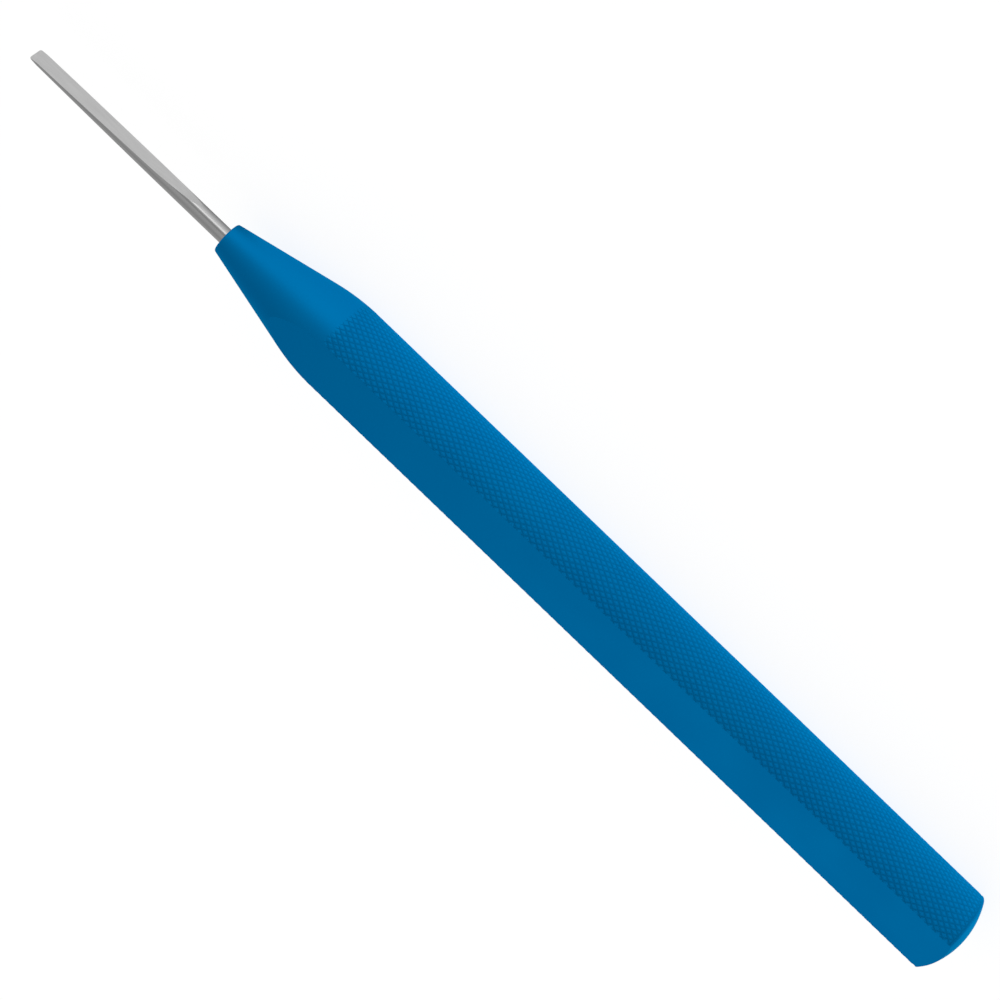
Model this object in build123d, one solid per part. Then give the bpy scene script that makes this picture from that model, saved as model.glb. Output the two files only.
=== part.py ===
from build123d import *
import math
import os

# A straight osteotome: a thin ground steel blade fixed in an anodised aluminium handle.
# It lies on one of the handle's two flats, with Z up. X runs along its axis, with the
# cutting edge at +X. The origin is on the surface below the middle of its length.
# The blade's broad faces look along Y and its edge is upright, at right angles to the flats.
# All sizes are in millimetres and all angles in degrees.

# Handle
handle_length = 127.2        # nose face to the top of the domed end
handle_diameter = 12.28      # over the knurled sides
across_flats = 9.5
nose_diameter = 4.44
nose_edge_radius = 0.3
nose_angle = 12.8            # the nose's taper, each side of the axis
shoulder_radius = 30.0       # blends the nose into the grip
dome_radius = 11.3           # the end that the mallet strikes
rim_radius = 0.4             # edge between the grip and the dome

# Blade
blade_reach = 33.2           # nose face to the cutting edge
rod_diameter = 2.2
edge_thickness = 0.03        # what honing leaves of the cutting edge
bevel_length = 1.2
bevel_thickness = 0.4        # where the cutting bevels meet the ground faces
face_length = 19.0           # cutting edge to the end of the ground faces
face_thickness = 1.16        # over the ground faces at their end
runout_length = 9.5          # the wheel's run-out, from the ground faces to the full rod

# Joint between the two
tang_length = 24.0           # the part of the rod inside the handle
tang_clearance = 0.02        # all round the tang, filled with adhesive
bore_relief = 0.8            # free depth past the tang's end
drill_point_angle = 118.0    # whole angle of the bore's end

# Places worked out from the sizes
overall_length = handle_length + blade_reach
edge_x = overall_length / 2
nose_x = edge_x - blade_reach
tail_x = -overall_length / 2
axis_z = across_flats / 2
handle_radius = handle_diameter / 2
nose_radius = nose_diameter / 2
rod_radius = rod_diameter / 2
shoulder_x = nose_x - (handle_radius - nose_radius) / math.tan(math.radians(nose_angle))
rim_x = tail_x + dome_radius - math.sqrt(dome_radius ** 2 - handle_radius ** 2)
cut_size = 2 * handle_diameter


def on_axis(solid):
    """Lift a solid that was made around the X axis to the height of the handle's axis."""
    return Pos(0, 0, axis_z) * solid


def handle_profile():
    """Half section of the turned bar, from the nose along the grip to the domed end."""
    nose_corner = (nose_x, nose_radius)
    shoulder_corner = (shoulder_x, handle_radius)
    rim_corner = (rim_x, handle_radius)
    with BuildSketch() as section:
        with BuildLine():
            outline = Polyline((nose_x, 0), nose_corner, shoulder_corner, rim_corner)
            dome = RadiusArc(rim_corner, (tail_x, 0), -dome_radius)
            Line(dome @ 1, outline @ 0)
        make_face()
        for corner, radius in (
            (nose_corner, nose_edge_radius),
            (shoulder_corner, shoulder_radius),
            (rim_corner, rim_radius),
        ):
            fillet(section.vertices().sort_by_distance((*corner, 0))[0], radius)
    return section.sketch


def bore():
    """Blind hole for the tang, with a drill point at its end."""
    bore_radius = rod_radius + tang_clearance
    bore_end_x = nose_x - tang_length - bore_relief
    point_length = bore_radius / math.tan(math.radians(drill_point_angle / 2))
    with BuildSketch() as section:
        with BuildLine():
            Polyline(
                (nose_x + bore_relief, 0),
                (nose_x + bore_relief, bore_radius),
                (bore_end_x, bore_radius),
                (bore_end_x - point_length, 0),
                close=True,
            )
        make_face()
    return revolve(section.sketch, Axis.X)


def handle():
    bar = revolve(handle_profile(), Axis.X)
    for side in (-1, 1):
        waste = Box(2 * overall_length, cut_size, cut_size)
        bar -= Pos(0, 0, side * (across_flats + cut_size) / 2) * waste
    return on_axis(bar - bore())


def blade_profile():
    """Outline of the blade seen edge on: bevels, ground faces, run-out and the full rod."""
    bevel_x = edge_x - bevel_length
    face_end_x = edge_x - face_length
    full_x = face_end_x - runout_length
    tang_end_x = nose_x - tang_length
    face_slope = (face_thickness - bevel_thickness) / 2 / (face_length - bevel_length)
    with BuildSketch() as section:
        with BuildLine():
            ground = Polyline(
                (edge_x, 0),
                (edge_x, edge_thickness / 2),
                (bevel_x, bevel_thickness / 2),
                (face_end_x, face_thickness / 2),
            )
            runout = TangentArc(ground @ 1, (full_x, rod_radius), tangent=(-1, face_slope))
            clear = PolarLine(runout @ 1, rod_diameter, direction=runout % 1)
            Polyline(clear @ 1, (tang_end_x, (clear @ 1).Y), (tang_end_x, 0), ground @ 0)
        make_face()
        mirror(about=Plane.XZ)
    return section.sketch


def blade():
    rod_length = blade_reach + tang_length
    rod = Pos(edge_x - rod_length / 2, 0, 0) * Rot(0, 90, 0) * Cylinder(rod_radius, rod_length)
    ground = extrude(blade_profile(), amount=rod_diameter, both=True)
    return on_axis(rod & ground)


nodes = {
    "handle": handle(),
    "blade": blade(),
}

os.makedirs("parts", exist_ok=True)
for name, solid in nodes.items():
    export_step(solid, f"parts/{name}.step")
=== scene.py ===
import math

import bmesh
import bpy
from mathutils import Matrix, Vector


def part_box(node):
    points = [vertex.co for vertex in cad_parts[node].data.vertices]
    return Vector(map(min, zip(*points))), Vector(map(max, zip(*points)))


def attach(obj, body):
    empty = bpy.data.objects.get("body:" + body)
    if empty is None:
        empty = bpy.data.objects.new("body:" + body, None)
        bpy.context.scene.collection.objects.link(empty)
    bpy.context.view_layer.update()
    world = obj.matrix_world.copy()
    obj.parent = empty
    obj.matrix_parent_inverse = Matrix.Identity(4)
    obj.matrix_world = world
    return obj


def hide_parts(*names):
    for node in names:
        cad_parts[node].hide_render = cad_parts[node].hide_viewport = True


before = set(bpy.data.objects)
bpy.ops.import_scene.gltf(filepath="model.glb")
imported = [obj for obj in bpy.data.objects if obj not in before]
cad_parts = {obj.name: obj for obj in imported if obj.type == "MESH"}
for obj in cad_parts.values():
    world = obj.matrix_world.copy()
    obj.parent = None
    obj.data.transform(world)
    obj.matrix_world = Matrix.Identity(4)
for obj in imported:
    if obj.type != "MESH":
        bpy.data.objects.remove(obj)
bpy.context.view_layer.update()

# An osteotome lying on one flat of its handle. The cutting edge points along +X and Z is up.
# Sizes in the dictionaries are in millimetres, and mm turns them into metres.
mm = 0.001
handleLow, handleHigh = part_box("handle")
bladeLow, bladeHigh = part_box("blade")
noseX = handleHigh.x
tailX = handleLow.x
axisZ = (handleLow.z + handleHigh.z) / 2
flatHalf = (handleHigh.z - handleLow.z) / 2
gripRadius = (handleHigh.y - handleLow.y) / 2
rodRadius = (bladeHigh.z - bladeLow.z) / 2
edgeX = bladeHigh.x
touch = 0.001 * mm           # places nearer than this are the same place
cutTouch = 0.0001 * mm       # the same where a plane cuts a mesh


def hexToLinear(code):
    # one sRGB hex value, such as "0068a0", as linear red, green, blue and alpha
    channels = [int(code[i:i + 2], 16) / 255 for i in (0, 2, 4)]
    return [c / 12.92 if c <= 0.04045 else ((c + 0.055) / 1.055) ** 2.4 for c in channels] + [1.0]


def addNode(tree, kind, settings=None, **links):
    # a new node with its settings; i0, i1 and so on are inputs by number, the others by name
    node = tree.nodes.new(kind)
    for key, value in (settings or {}).items():
        setattr(node, key, value)
    for key, value in links.items():
        numbered = key[0] == "i" and key[1:].isdigit()
        socket = node.inputs[int(key[1:]) if numbered else key.replace("_", " ")]
        if isinstance(value, bpy.types.NodeSocket):
            tree.links.new(value, socket)
        else:
            socket.default_value = value
    return node


def seenAs(tree, forCamera, forReflections, otherwise):
    # what the camera sees, what reflections see and what lights the scene
    rays = addNode(tree, "ShaderNodeLightPath").outputs
    mirrored = addNode(tree, "ShaderNodeMath", {"operation": "MAXIMUM"},
                       i0=rays["Is Glossy Ray"], i1=rays["Is Transmission Ray"])
    strength = addNode(tree, "ShaderNodeMapRange", i0=mirrored.outputs[0],
                       i3=otherwise, i4=forReflections)
    strength = addNode(tree, "ShaderNodeMapRange", i0=rays["Is Camera Ray"],
                       i3=strength.outputs[0], i4=forCamera)
    return strength.outputs[0]


def newMaterial(name):
    material = bpy.data.materials.new(name)
    material.use_nodes = True
    material.node_tree.nodes.clear()
    return material, material.node_tree


def deselectAll():
    if bpy.context.object and bpy.context.object.mode != "OBJECT":
        bpy.ops.object.mode_set(mode="OBJECT")
    bpy.ops.object.select_all(action="DESELECT")


def editOnly(piece):
    # into edit mode on this piece alone, with nothing selected in it
    deselectAll()
    piece.select_set(True)
    bpy.context.view_layer.objects.active = piece
    bpy.ops.object.mode_set(mode="EDIT")
    bpy.ops.mesh.select_all(action="DESELECT")


def applyPlace(piece):
    deselectAll()
    piece.select_set(True)
    bpy.context.view_layer.objects.active = piece
    bpy.ops.object.transform_apply(location=True, rotation=True, scale=True)


def pick(piece, kind, test):
    # in edit mode, selects the edges or faces for which the test holds
    bpy.ops.mesh.select_all(action="DESELECT")
    bpy.ops.mesh.select_mode(type={"edges": "EDGE", "faces": "FACE"}[kind])
    work = bmesh.from_edit_mesh(piece.data)
    for part in getattr(work, kind):
        if test(part):
            part.select_set(True)
    work.select_flush_mode()
    bmesh.update_edit_mesh(piece.data)


print("stage: camera")
cameraView = {
    "focal": 93.6,
    "sensor": 36.0,         # its width, which the focal length goes with
    "clipStart": 10.0,
    "distance": 325.3,      # to the axis
    "elevation": 39.5,      # degrees above the floor, from the -Y side
    "slope": 43.85,         # degrees that the axis falls to the right in the picture
    "aimX": -0.435,         # the point of the axis in the middle of the picture
}


def addCamera(v):
    elevation = math.radians(v["elevation"])
    slope = math.radians(v["slope"])
    back = Vector((0, -math.cos(elevation), math.sin(elevation)))
    rise = Vector((0, math.sin(elevation), math.cos(elevation)))
    along = Vector((1, 0, 0))
    right = -math.cos(slope) * along - math.sin(slope) * rise
    up = math.sin(slope) * along - math.cos(slope) * rise
    data = bpy.data.cameras.new("camera")
    data.lens = v["focal"]
    data.sensor_width = v["sensor"]
    data.clip_start = v["clipStart"] * mm
    camera = bpy.data.objects.new("camera", data)
    bpy.context.scene.collection.objects.link(camera)
    place = Vector((v["aimX"] * mm, 0, axisZ)) + back * v["distance"] * mm
    turn = Matrix((right, up, back)).transposed().to_4x4()
    camera.matrix_world = Matrix.Translation(place) @ turn
    bpy.context.scene.camera = camera


addCamera(cameraView)

print("stage: floor and light")
studio = {
    "floorSize": 3000.0,
    "floorColour": "969696",
    "floorGlow": 0.87,                # added for the camera, which makes the floor white
    "floorMirrored": 0.8,             # the same for reflections
    "paintedLightBesideGrip": 1.35,               # painted light: how much brighter reflections see the floor close to the grip
    "besideReach": 18.0,              # from the axis, where that ends
    "besideFade": (24.0, 17.0),       # behind the nose's face, where it ends along the axis
    "paintedShadeBelowRod": 0.52,                 # painted shade: what is left of the floor below the rod, in the nose's shade, as reflections see it
    "belowReach": (4.0, 11.0),        # from the axis, where that shade starts to fade and ends
    "belowFade": (5.0, 9.0),          # ahead of the nose's face, the same along the axis
    "noseFade": 1.0,                  # behind the nose's face, where the shade starts
    "farSide": 0.8,                   # what is left of floor and wall behind the piece, in reflections; on the floor this is painted shade
    "farFloor": (-4.0, 8.0),          # across the axis, where the floor's far side starts
    "farWall": (-0.1, 0.3),           # the direction's Y, where the wall's far side starts
    "horizonMirrored": 0.84,          # the wall's foot, as reflections see it
    "zenithMirrored": 0.5,
    "zenithStart": 0.8,               # the direction's Z, above which the wall is even
    "darkSide": 0.58,                 # what is left of the wall where the camera and its stand are
    "darkCosines": (0.94, 0.985),     # of the angles from the camera between which it fades
    "wallSeen": 1.0,                  # by the camera
    "worldLight": 0.4,
}
lamps = {
    "key": {"place": (170, -600, 130), "aim": (60, 0, 5), "size": (560, 200), "watts": 0.27},
    "fill": {"place": (-150, 330, 290), "aim": (-30, 0, 5), "size": (340, 300), "watts": 0.17},
}


def floorMaterial(v):
    # white paper, whose glow as reflections see it has painted light beside the grip and painted shade
    # below the rod and on the far side
    material, tree = newMaterial("studio_paper")
    place = addNode(tree, "ShaderNodeTexCoord")
    spot = addNode(tree, "ShaderNodeSeparateXYZ", i0=place.outputs["Object"]).outputs
    away = addNode(tree, "ShaderNodeMath", {"operation": "ABSOLUTE"}, i0=spot["Y"]).outputs[0]
    # painted light beside the grip, in the glow that reflections see
    beside = addNode(tree, "ShaderNodeMapRange", i0=away, i1=0.0, i2=v["besideReach"] * mm,
                     i3=v["paintedLightBesideGrip"], i4=1.0).outputs[0]
    beside = addNode(tree, "ShaderNodeMapRange", i0=spot["X"], i1=noseX - v["besideFade"][0] * mm,
                     i2=noseX - v["besideFade"][1] * mm, i3=beside, i4=1.0).outputs[0]
    # painted shade below the rod, in the same glow
    below = addNode(tree, "ShaderNodeMapRange", i0=away, i1=v["belowReach"][0] * mm,
                    i2=v["belowReach"][1] * mm, i3=v["paintedShadeBelowRod"], i4=1.0).outputs[0]
    below = addNode(tree, "ShaderNodeMapRange", i0=spot["X"], i1=noseX + v["belowFade"][0] * mm,
                    i2=noseX + v["belowFade"][1] * mm, i3=below, i4=1.0).outputs[0]
    near = addNode(tree, "ShaderNodeMapRange", i0=spot["X"], i1=noseX - v["noseFade"] * mm,
                   i2=noseX, i3=beside, i4=below).outputs[0]
    far = addNode(tree, "ShaderNodeMapRange", i0=spot["Y"], i1=v["farFloor"][0] * mm,
                  i2=v["farFloor"][1] * mm, i3=v["floorMirrored"],
                  i4=v["floorMirrored"] * v["farSide"]).outputs[0]
    mirrored = addNode(tree, "ShaderNodeMath", {"operation": "MULTIPLY"}, i0=near, i1=far)
    glow = seenAs(tree, v["floorGlow"], mirrored.outputs[0], 0.0)
    paper = addNode(tree, "ShaderNodeBsdfDiffuse", Color=hexToLinear(v["floorColour"]))
    light = addNode(tree, "ShaderNodeEmission", Strength=glow)
    both = addNode(tree, "ShaderNodeAddShader", i0=paper.outputs[0], i1=light.outputs[0])
    addNode(tree, "ShaderNodeOutputMaterial", Surface=both.outputs[0])
    return material


def addFloor(v):
    bpy.ops.mesh.primitive_plane_add(size=v["floorSize"] * mm)
    floor = bpy.context.object
    floor.name = "floor"
    floor.data.materials.append(floorMaterial(v))


def addWorld(v):
    # a studio whose walls darken upwards and around the camera, so that round metal shows its shape
    world = bpy.data.worlds.new("studio")
    bpy.context.scene.world = world
    world.use_nodes = True
    tree = world.node_tree
    tree.nodes.clear()
    direction = addNode(tree, "ShaderNodeTexCoord").outputs["Generated"]
    towards = addNode(tree, "ShaderNodeSeparateXYZ", i0=direction).outputs
    wall = addNode(tree, "ShaderNodeMapRange", i0=towards["Z"], i1=0.0, i2=v["zenithStart"],
                   i3=v["horizonMirrored"], i4=v["zenithMirrored"]).outputs[0]
    elevation = math.radians(cameraView["elevation"])
    nearCamera = addNode(tree, "ShaderNodeVectorMath", {"operation": "DOT_PRODUCT"}, i0=direction,
                         i1=(0, -math.cos(elevation), math.sin(elevation))).outputs["Value"]
    dark = addNode(tree, "ShaderNodeMapRange", {"interpolation_type": "SMOOTHSTEP"}, i0=nearCamera,
                   i1=v["darkCosines"][0], i2=v["darkCosines"][1], i3=1.0, i4=v["darkSide"])
    far = addNode(tree, "ShaderNodeMapRange", i0=towards["Y"], i1=v["farWall"][0],
                  i2=v["farWall"][1], i3=1.0, i4=v["farSide"])
    for shade in (dark, far):
        wall = addNode(tree, "ShaderNodeMath", {"operation": "MULTIPLY"},
                       i0=wall, i1=shade.outputs[0]).outputs[0]
    strength = seenAs(tree, v["wallSeen"], wall, v["worldLight"])
    sky = addNode(tree, "ShaderNodeBackground", Color=hexToLinear("ffffff"), Strength=strength)
    addNode(tree, "ShaderNodeOutputWorld", Surface=sky.outputs[0])


def addLamp(name, v):
    data = bpy.data.lights.new(name, "AREA")
    data.shape = "RECTANGLE"
    data.size, data.size_y = (side * mm for side in v["size"])
    data.energy = v["watts"]
    lamp = bpy.data.objects.new(name, data)
    bpy.context.scene.collection.objects.link(lamp)
    place = Vector(v["place"]) * mm
    aim = Vector(v["aim"]) * mm
    turn = (aim - place).to_track_quat("-Z", "Y").to_matrix().to_4x4()
    lamp.matrix_world = Matrix.Translation(place) @ turn
    lamp.visible_camera = False


bpy.context.scene.view_settings.view_transform = "Standard"
deselectAll()
addFloor(studio)
addWorld(studio)
for lampName, lampValues in lamps.items():
    addLamp(lampName, lampValues)

print("stage: materials")
noiseLow = 0.3                # most of a noise texture lies between these two
noiseHigh = 0.7
anodised = {
    "colour": "0080c0",
    "paintedCrestHighlight": "0095d4",   # painted highlight on the knurl's diamonds, a little brighter than the plain blue
    "paintedGrooveShade": "0081bb",  # painted shade between them, in the grooves
    "edgeColour": "00e7f7",    # where the surface is seen at a low angle
    "roughness": 0.54,
    "knurlRoughness": 0.74,    # for the knurl's own broken surface
    "roughnessChange": 0.05,
    "grain": 0.25,             # coarser than the blasted 0.1, which is too fine to show
    "grainHeight": 0.006,
    "mottle": 9.0,             # across a patch of slightly deeper dye
    "mottleShade": 0.98,
}
steel = {
    "colour": "cccccc",
    "lineColour": "b6b6b6",
    "edgeColour": "b8b8b8",
    "roughness": 0.3,          # of the ground faces
    "rodRoughness": 0.17,
    "roughnessChange": 0.08,
    "lineWidth": 0.12,         # coarser than a belt's 0.02, which is too fine to show
    "lineLength": 6.0,
    "lineHeight": 0.0008,
}


def patternPlace(tree, sizes):
    # the object's own coordinates, with one pattern unit for each of the sizes in mm
    place = addNode(tree, "ShaderNodeTexCoord")
    scales = [1 / (size * mm) for size in sizes]
    return addNode(tree, "ShaderNodeMapping", i0=place.outputs["Object"], Scale=scales).outputs[0]


def finishMetal(tree, v, colour, rough, pattern, height):
    # metal whose surface rises with the pattern, by the height in mm
    bump = addNode(tree, "ShaderNodeBump", Height=pattern, Distance=height * mm)
    shader = addNode(tree, "ShaderNodeBsdfPrincipled", Base_Color=colour, Metallic=1.0, Roughness=rough,
                     Specular_Tint=hexToLinear(v["edgeColour"]), Normal=bump.outputs[0])
    addNode(tree, "ShaderNodeOutputMaterial", Surface=shader.outputs[0])


def knurlPaintedShade(tree, v, rootRadius):
    # painted shade and highlight: the blue goes from darker down in the knurl's grooves to lighter on
    # its crests, by the distance from the axis
    place = addNode(tree, "ShaderNodeTexCoord")
    across = addNode(tree, "ShaderNodeVectorMath", {"operation": "MULTIPLY_ADD"},
                     i0=place.outputs["Object"], i1=(0, 1, 1), i2=(0, 0, -axisZ))
    radius = addNode(tree, "ShaderNodeVectorMath", {"operation": "LENGTH"}, i0=across.outputs[0])
    rise = addNode(tree, "ShaderNodeMapRange", i0=radius.outputs["Value"], i1=rootRadius, i2=gripRadius)
    return addNode(tree, "ShaderNodeMix", {"data_type": "RGBA"}, i0=rise.outputs[0],
                   i6=hexToLinear(v["paintedGrooveShade"]), i7=hexToLinear(v["paintedCrestHighlight"])).outputs[2]


def anodisedMaterial(name, v, rootRadius=None):
    # blasted, dyed and sealed aluminium: an even satin blue whose grain breaks up the highlights
    material, tree = newMaterial(name)
    mottle = addNode(tree, "ShaderNodeTexNoise", i0=patternPlace(tree, [v["mottle"]] * 3),
                     Scale=1.0, Detail=2.0).outputs[0]
    grain = addNode(tree, "ShaderNodeTexNoise", i0=patternPlace(tree, [v["grain"]] * 3),
                    Scale=1.0, Detail=1.0).outputs[0]
    # on the knurl the colour holds painted shade in the grooves and painted highlight on the crests
    dyeAndPaintedShade = knurlPaintedShade(tree, v, rootRadius) if rootRadius else hexToLinear(v["colour"])[:3]
    shade = addNode(tree, "ShaderNodeMapRange", i0=mottle, i1=noiseLow, i2=noiseHigh,
                    i3=v["mottleShade"], i4=1.0)
    colour = addNode(tree, "ShaderNodeVectorMath", {"operation": "SCALE"}, i0=dyeAndPaintedShade,
                     Scale=shade.outputs[0])
    roughness = v["knurlRoughness"] if rootRadius else v["roughness"]
    rough = addNode(tree, "ShaderNodeMapRange", i0=mottle, i1=noiseLow, i2=noiseHigh,
                    i3=roughness, i4=roughness + v["roughnessChange"])
    finishMetal(tree, v, colour.outputs[0], rough.outputs[0], grain, v["grainHeight"])
    return material


def steelMaterial(name, v, roughness):
    # stainless steel finished with a fine belt: soft reflections drawn out along the blade
    material, tree = newMaterial(name)
    sizes = (v["lineLength"], v["lineWidth"], v["lineWidth"])
    lines = addNode(tree, "ShaderNodeTexNoise", i0=patternPlace(tree, sizes),
                    Scale=1.0, Detail=3.0).outputs[0]
    colour = addNode(tree, "ShaderNodeMix", {"data_type": "RGBA"}, i0=lines,
                     i6=hexToLinear(v["lineColour"]), i7=hexToLinear(v["colour"]))
    rough = addNode(tree, "ShaderNodeMapRange", i0=lines, i1=noiseLow, i2=noiseHigh,
                    i3=roughness + v["roughnessChange"], i4=roughness)
    finishMetal(tree, v, colour.outputs[2], rough.outputs[0], lines, v["lineHeight"])
    return material


print("stage: handle")
handleForm = {
    "noseRadius": 2.22,
    "noseEdge": 0.3,
    "noseAngle": 12.8,
    "shoulderRadius": 30.0,
    "domeRadius": 11.3,
    "rimEdge": 0.4,
    "boreRadius": 1.12,
    "boreDepth": 24.8,
    "boreTip": 0.65,        # what the drill's point adds to the bore
    "sides": 224,           # of the turned surfaces' circles
    "shoulderSteps": 8,
    "edgeSteps": 6,         # in the nose's edge and in the rim
    "domeSteps": 14,
    "knurlAround": 50,      # diamonds round the bar
    "knurlLength": 1.27,    # of one diamond, along the bar
    "knurlDepth": 0.085,
    "grooveHalf": 0.2,      # half the groove's width at the crests
    "crestGap": 0.006,      # keeps the crests just inside the bar's radius
    "overrun": 1.0,         # how far the knurled bar passes the turned one
    "endLand": 0.1,         # plain ring between the knurl and the rim's round
    "endSlope": 15,         # degrees, of the knurl's run-out at that end
    "softAngle": 45,        # edges under this angle are shaded round
}


def shoulderPlaces(v):
    # the taper's angle, and where its blend into the grip starts and ends along the axis
    angle = math.radians(v["noseAngle"])
    cornerX = noseX - (gripRadius - v["noseRadius"] * mm) / math.tan(angle)
    reach = v["shoulderRadius"] * mm * math.tan(angle / 2)
    return angle, cornerX - reach, cornerX + reach * math.cos(angle)


def tailPlaces(v):
    # the dome's centre, its rim's round, and the tilt at which the two meet
    bend = v["domeRadius"] * mm
    edge = v["rimEdge"] * mm
    domeX = tailX + bend
    roundRadius = gripRadius - edge
    roundX = domeX - math.sqrt((bend - edge) ** 2 - roundRadius ** 2)
    tilt = math.degrees(math.atan2(domeX - roundX, roundRadius))
    return domeX, roundX, roundRadius, tilt


def arcRings(centreX, centreRadius, bend, start, stop, steps):
    # rings on an arc, whose angles are measured from straight out of the axis
    rings = []
    for i in range(1, steps + 1):
        angle = math.radians(start + (stop - start) * i / steps)
        rings.append((centreX + bend * math.sin(angle), centreRadius + bend * math.cos(angle)))
    return rings


def turnRings(rings, first):
    # extrudes the selected ring along the axis, one ring after another
    x, radius = first
    for nextX, nextRadius in rings:
        bpy.ops.mesh.extrude_region_move(TRANSFORM_OT_translate={"value": (nextX - x, 0, 0)})
        scale = nextRadius / radius
        bpy.ops.transform.resize(value=(1, scale, scale), center_override=(nextX, 0, axisZ))
        x, radius = nextX, nextRadius


def closeTip(step):
    # ends the selected ring in a point on the axis
    bpy.ops.mesh.extrude_region_move(TRANSFORM_OT_translate={"value": (step, 0, 0)})
    bpy.ops.mesh.merge(type="CENTER")


def noseRings(v):
    angle, blendStart = shoulderPlaces(v)[:2]
    bend = v["shoulderRadius"] * mm
    rings = [(blendStart, gripRadius)]
    rings += arcRings(blendStart, gripRadius - bend, bend, 0, v["noseAngle"], v["shoulderSteps"])
    # the edge's round touches the taper and the nose's face, and its first ring ends the taper
    edge = v["noseEdge"] * mm
    roundX = noseX - edge
    roundRadius = v["noseRadius"] * mm + edge * math.tan(angle) - edge / math.cos(angle)
    rings += arcRings(roundX, roundRadius, edge, 0, v["noseAngle"], 1)
    rings += arcRings(roundX, roundRadius, edge, v["noseAngle"], 90, v["edgeSteps"])
    bore = v["boreRadius"] * mm
    return rings + [(noseX, bore), (noseX - v["boreDepth"] * mm, bore)]


def tailRings(v):
    domeX, roundX, roundRadius, tilt = tailPlaces(v)
    rings = arcRings(roundX, roundRadius, v["rimEdge"] * mm, 0, -tilt, v["edgeSteps"])
    return rings + arcRings(domeX, 0, v["domeRadius"] * mm, -tilt, -90, v["domeSteps"])[:-1]


def makeTurnedBar(v):
    # the bar as it leaves the lathe, bored and domed, with no knurl and no flats
    startX = tailPlaces(v)[1]
    deselectAll()
    bpy.ops.mesh.primitive_circle_add(vertices=v["sides"], radius=gripRadius,
                                      location=(startX, 0, axisZ), rotation=(0, math.pi / 2, 0))
    bar = bpy.context.object
    applyPlace(bar)
    editOnly(bar)
    bpy.ops.mesh.select_all(action="SELECT")
    turnRings(noseRings(v), (startX, gripRadius))
    closeTip(-v["boreTip"] * mm)
    pick(bar, "edges", lambda e: all(abs(vertex.co.x - startX) < touch for vertex in e.verts))
    rings = tailRings(v)
    turnRings(rings, (startX, gripRadius))
    closeTip(tailX - rings[-1][0])
    bpy.ops.mesh.select_all(action="SELECT")
    bpy.ops.mesh.normals_make_consistent(inside=False)
    bpy.ops.object.mode_set(mode="OBJECT")
    return bar


def makeKnurledBar(v, root):
    # a longer bar with diamonds raised from the root's radius, which the turned bar is cut with
    overrun = v["overrun"] * mm
    low = tailPlaces(v)[1] + v["endLand"] * mm
    high = shoulderPlaces(v)[2] + overrun
    rows = round((high - low) / (v["knurlLength"] * mm))
    small = 0.01 * mm        # far less than any edge of a diamond
    endOn = 0.9              # how far along the axis the normals of the bar's ends point, at least
    deselectAll()
    bpy.ops.mesh.primitive_cylinder_add(vertices=v["knurlAround"], radius=root, depth=high - low,
                                        end_fill_type="NGON", location=((high + low) / 2, 0, axisZ),
                                        rotation=(0, math.pi / 2, 0))
    bar = bpy.context.object
    applyPlace(bar)
    editOnly(bar)
    pick(bar, "edges", lambda e: abs(e.verts[0].co.x - e.verts[1].co.x) > small)
    bpy.ops.mesh.subdivide(number_cuts=rows - 1)
    pick(bar, "faces", lambda f: abs(f.normal.x) < endOn)
    bpy.ops.mesh.poke(offset=root * (1 - math.cos(math.pi / v["knurlAround"])))

    def isGridEdge(e):
        # an edge of the first grid, which would cross a diamond
        ends = [vertex.co for vertex in e.verts]
        step = ends[0] - ends[1]
        straight = abs(step.x) < small or math.hypot(step.y, step.z) < small
        atEnd = all(p.x < low + small for p in ends) or all(p.x > high - small for p in ends)
        return straight and not atEnd

    pick(bar, "edges", isGridEdge)
    bpy.ops.mesh.dissolve_edges(use_verts=False, use_face_split=False)
    pick(bar, "faces", lambda f: abs(f.normal.x) < endOn)
    bpy.ops.mesh.inset(thickness=v["grooveHalf"] * mm, depth=v["knurlDepth"] * mm, use_individual=True)
    # plain ends: past the taper, and wider than the bar over the rim and the dome
    pick(bar, "faces", lambda f: f.normal.x > endOn)
    bpy.ops.mesh.extrude_region_move(TRANSFORM_OT_translate={"value": (noseX + overrun - high, 0, 0)})
    pick(bar, "faces", lambda f: f.normal.x < -endOn)
    slope = overrun / 2
    wider = 1 + slope * math.tan(math.radians(v["endSlope"])) / root
    bpy.ops.mesh.extrude_region_move(TRANSFORM_OT_translate={"value": (-slope, 0, 0)})
    bpy.ops.transform.resize(value=(1, wider, wider), center_override=(low - slope, 0, axisZ))
    rest = tailX - overrun - low + slope
    bpy.ops.mesh.extrude_region_move(TRANSFORM_OT_translate={"value": (rest, 0, 0)})
    bpy.ops.object.mode_set(mode="OBJECT")
    return bar


def cutWith(piece, tool, operation):
    # applies a boolean with the tool, which is then thrown away
    cut = piece.modifiers.new("cut", "BOOLEAN")
    cut.operation = operation
    cut.object = tool
    cut.solver = "EXACT"
    deselectAll()
    bpy.context.view_layer.objects.active = piece
    bpy.ops.object.modifier_apply(modifier=cut.name)
    bpy.data.objects.remove(tool)


def giveMaterials(piece, materials, index):
    # gives the piece a slot for each material, and all its faces the one at the index
    for material in materials:
        piece.data.materials.append(material)
    for face in piece.data.polygons:
        face.material_index = index


def millFlats(piece):
    # cuts the two flats and keeps their edges crisp
    editOnly(piece)
    for side in (-1, 1):
        bpy.ops.mesh.select_all(action="SELECT")
        bpy.ops.mesh.bisect(plane_co=(0, 0, axisZ + side * flatHalf), plane_no=(0, 0, side),
                            use_fill=True, clear_outer=True, threshold=cutTouch)

    def isOnFlat(face):
        return all(abs(abs(vertex.co.z - axisZ) - flatHalf) < touch for vertex in face.verts)

    pick(piece, "faces", isOnFlat)
    piece.active_material_index = 0
    bpy.ops.object.material_slot_assign()
    bpy.ops.mesh.region_to_loop()
    bpy.ops.mesh.mark_sharp()
    bpy.ops.object.mode_set(mode="OBJECT")


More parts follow.
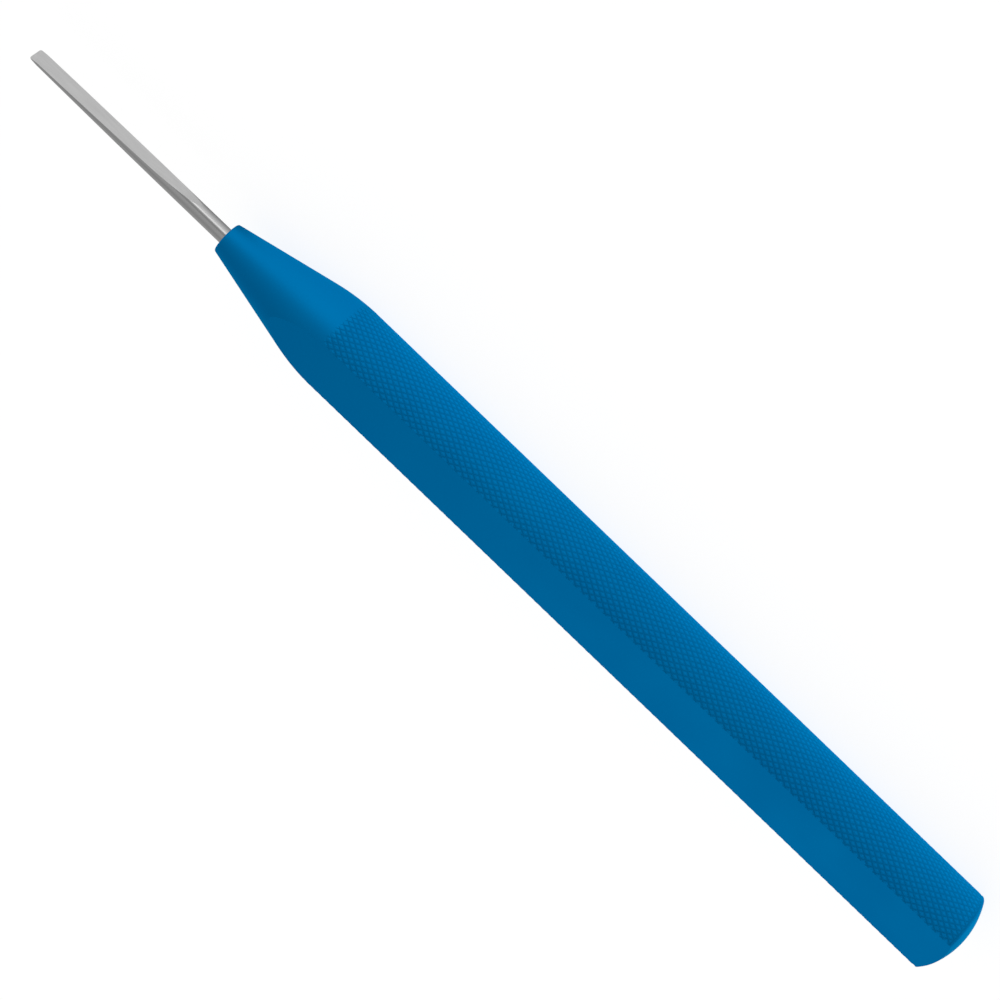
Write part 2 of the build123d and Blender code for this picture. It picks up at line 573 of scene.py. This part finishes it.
def makeHandle(v):
    rootRadius = gripRadius - v["crestGap"] * mm - v["knurlDepth"] * mm
    blues = [anodisedMaterial("anodised_satin", anodised),
             anodisedMaterial("anodised_knurl", anodised, rootRadius)]
    handle = makeTurnedBar(v)
    handle.name = "handle_knurled"
    giveMaterials(handle, blues, 0)
    knurl = makeKnurledBar(v, rootRadius)
    giveMaterials(knurl, blues, 1)
    cutWith(handle, knurl, "INTERSECT")
    millFlats(handle)
    deselectAll()
    handle.select_set(True)
    bpy.ops.object.shade_smooth_by_angle(angle=math.radians(v["softAngle"]), keep_sharp_edges=True)
    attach(handle, "root")
    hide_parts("handle")


makeHandle(handleForm)

print("stage: blade")
bladeForm = {
    "sides": 96,
    "edge": 0.03,           # thickness of the honed edge
    "bevelLength": 1.2,
    "bevel": 0.4,           # thickness where the bevels meet the faces
    "faceLength": 19.0,     # cutting edge to the faces' end
    "face": 1.16,           # thickness there
    "runout": 9.5,          # the wheel's run-out to the full rod
    "steps": 24,            # in the run-out's curve
    "past": 1.4,            # where that curve ends, clear of the rod, in run-outs
    "cornerRound": 0.3,     # at the two ends of the cutting edge
    "cornerCuts": 3,
    "lead": 1.0,            # how far the wheel starts ahead of the edge
    "softAngle": 12,
}


def groundPoints(v):
    # the ground side's line seen from above: places along the axis and half thicknesses
    bevelX = edgeX - v["bevelLength"] * mm
    faceX = edgeX - v["faceLength"] * mm
    slope = (v["face"] - v["bevel"]) / 2 / (v["faceLength"] - v["bevelLength"])
    run = v["runout"] * mm
    rise = rodRadius - v["face"] * mm / 2
    # the curve leaves the face along its slope and reaches the rod's surface after the run
    curve = (rise - slope * run) / run ** 2
    points = [(edgeX, v["edge"] * mm / 2), (bevelX, v["bevel"] * mm / 2)]
    for i in range(int(v["steps"] * v["past"]) + 1):
        step = run * i / v["steps"]
        points.append((faceX - step, v["face"] * mm / 2 + slope * step + curve * step ** 2))
    return points


def makeWheelCut(v, side):
    # the space that the grinding wheel takes from one side of the rod
    points = groundPoints(v)
    lead = v["lead"] * mm
    rise = (points[1][1] - points[0][1]) / (points[0][0] - points[1][0])
    points = [(points[0][0] + lead, points[0][1] - rise * lead)] + points
    clear = 3 * rodRadius
    outline = [Vector((x, side * depth, axisZ - clear)) for x, depth in points]
    outline += [Vector((x, side * clear, axisZ - clear)) for x in (points[-1][0], points[0][0])]
    deselectAll()
    bpy.ops.mesh.primitive_plane_add(size=mm, location=outline[0])
    tool = bpy.context.object
    applyPlace(tool)
    editOnly(tool)
    bpy.ops.mesh.select_mode(type="VERT")
    bpy.ops.mesh.select_all(action="SELECT")
    bpy.ops.mesh.merge(type="CENTER")
    for here, there in zip(outline, outline[1:] + outline[:1]):
        bpy.ops.mesh.extrude_region_move(TRANSFORM_OT_translate={"value": there - here})
    bpy.ops.mesh.select_all(action="SELECT")
    bpy.ops.mesh.remove_doubles(threshold=touch)
    bpy.ops.mesh.edge_face_add()
    bpy.ops.mesh.extrude_region_move(TRANSFORM_OT_translate={"value": (0, 0, 2 * clear)})
    bpy.ops.mesh.select_all(action="SELECT")
    bpy.ops.mesh.normals_make_consistent(inside=False)
    bpy.ops.object.mode_set(mode="OBJECT")
    return tool


def roundCorners(piece, v):
    # takes the sharp corners off the two ends of the cutting edge
    bend = v["cornerRound"] * mm
    editOnly(piece)
    for side in (-1, 1):
        centre = Vector((edgeX - bend, 0, axisZ + side * (rodRadius - bend)))
        for i in range(1, v["cornerCuts"] + 1):
            angle = math.radians(90 * i / (v["cornerCuts"] + 1))
            out = Vector((math.cos(angle), 0, side * math.sin(angle)))
            bpy.ops.mesh.select_all(action="SELECT")
            bpy.ops.mesh.bisect(plane_co=centre + bend * out, plane_no=out, use_fill=True,
                                clear_outer=True, threshold=cutTouch)
    bpy.ops.object.mode_set(mode="OBJECT")


def makeBlade(v):
    length = bladeHigh.x - bladeLow.x
    deselectAll()
    bpy.ops.mesh.primitive_cylinder_add(vertices=v["sides"], radius=rodRadius, depth=length,
                                        location=((bladeHigh.x + bladeLow.x) / 2, 0, axisZ),
                                        rotation=(0, math.pi / 2, 0))
    blade = bpy.context.object
    blade.name = "blade_ground"
    applyPlace(blade)
    metals = [steelMaterial("stainless_rod", steel, steel["rodRoughness"]),
              steelMaterial("stainless_ground", steel, steel["roughness"])]
    giveMaterials(blade, metals, 0)
    for side in (-1, 1):
        tool = makeWheelCut(v, side)
        giveMaterials(tool, metals, 1)
        cutWith(blade, tool, "DIFFERENCE")
    roundCorners(blade, v)
    deselectAll()
    blade.select_set(True)
    bpy.context.view_layer.objects.active = blade
    bpy.ops.object.shade_smooth_by_angle(angle=math.radians(v["softAngle"]))
    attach(blade, "root")
    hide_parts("blade")


makeBlade(bladeForm)

print("stage: finish")
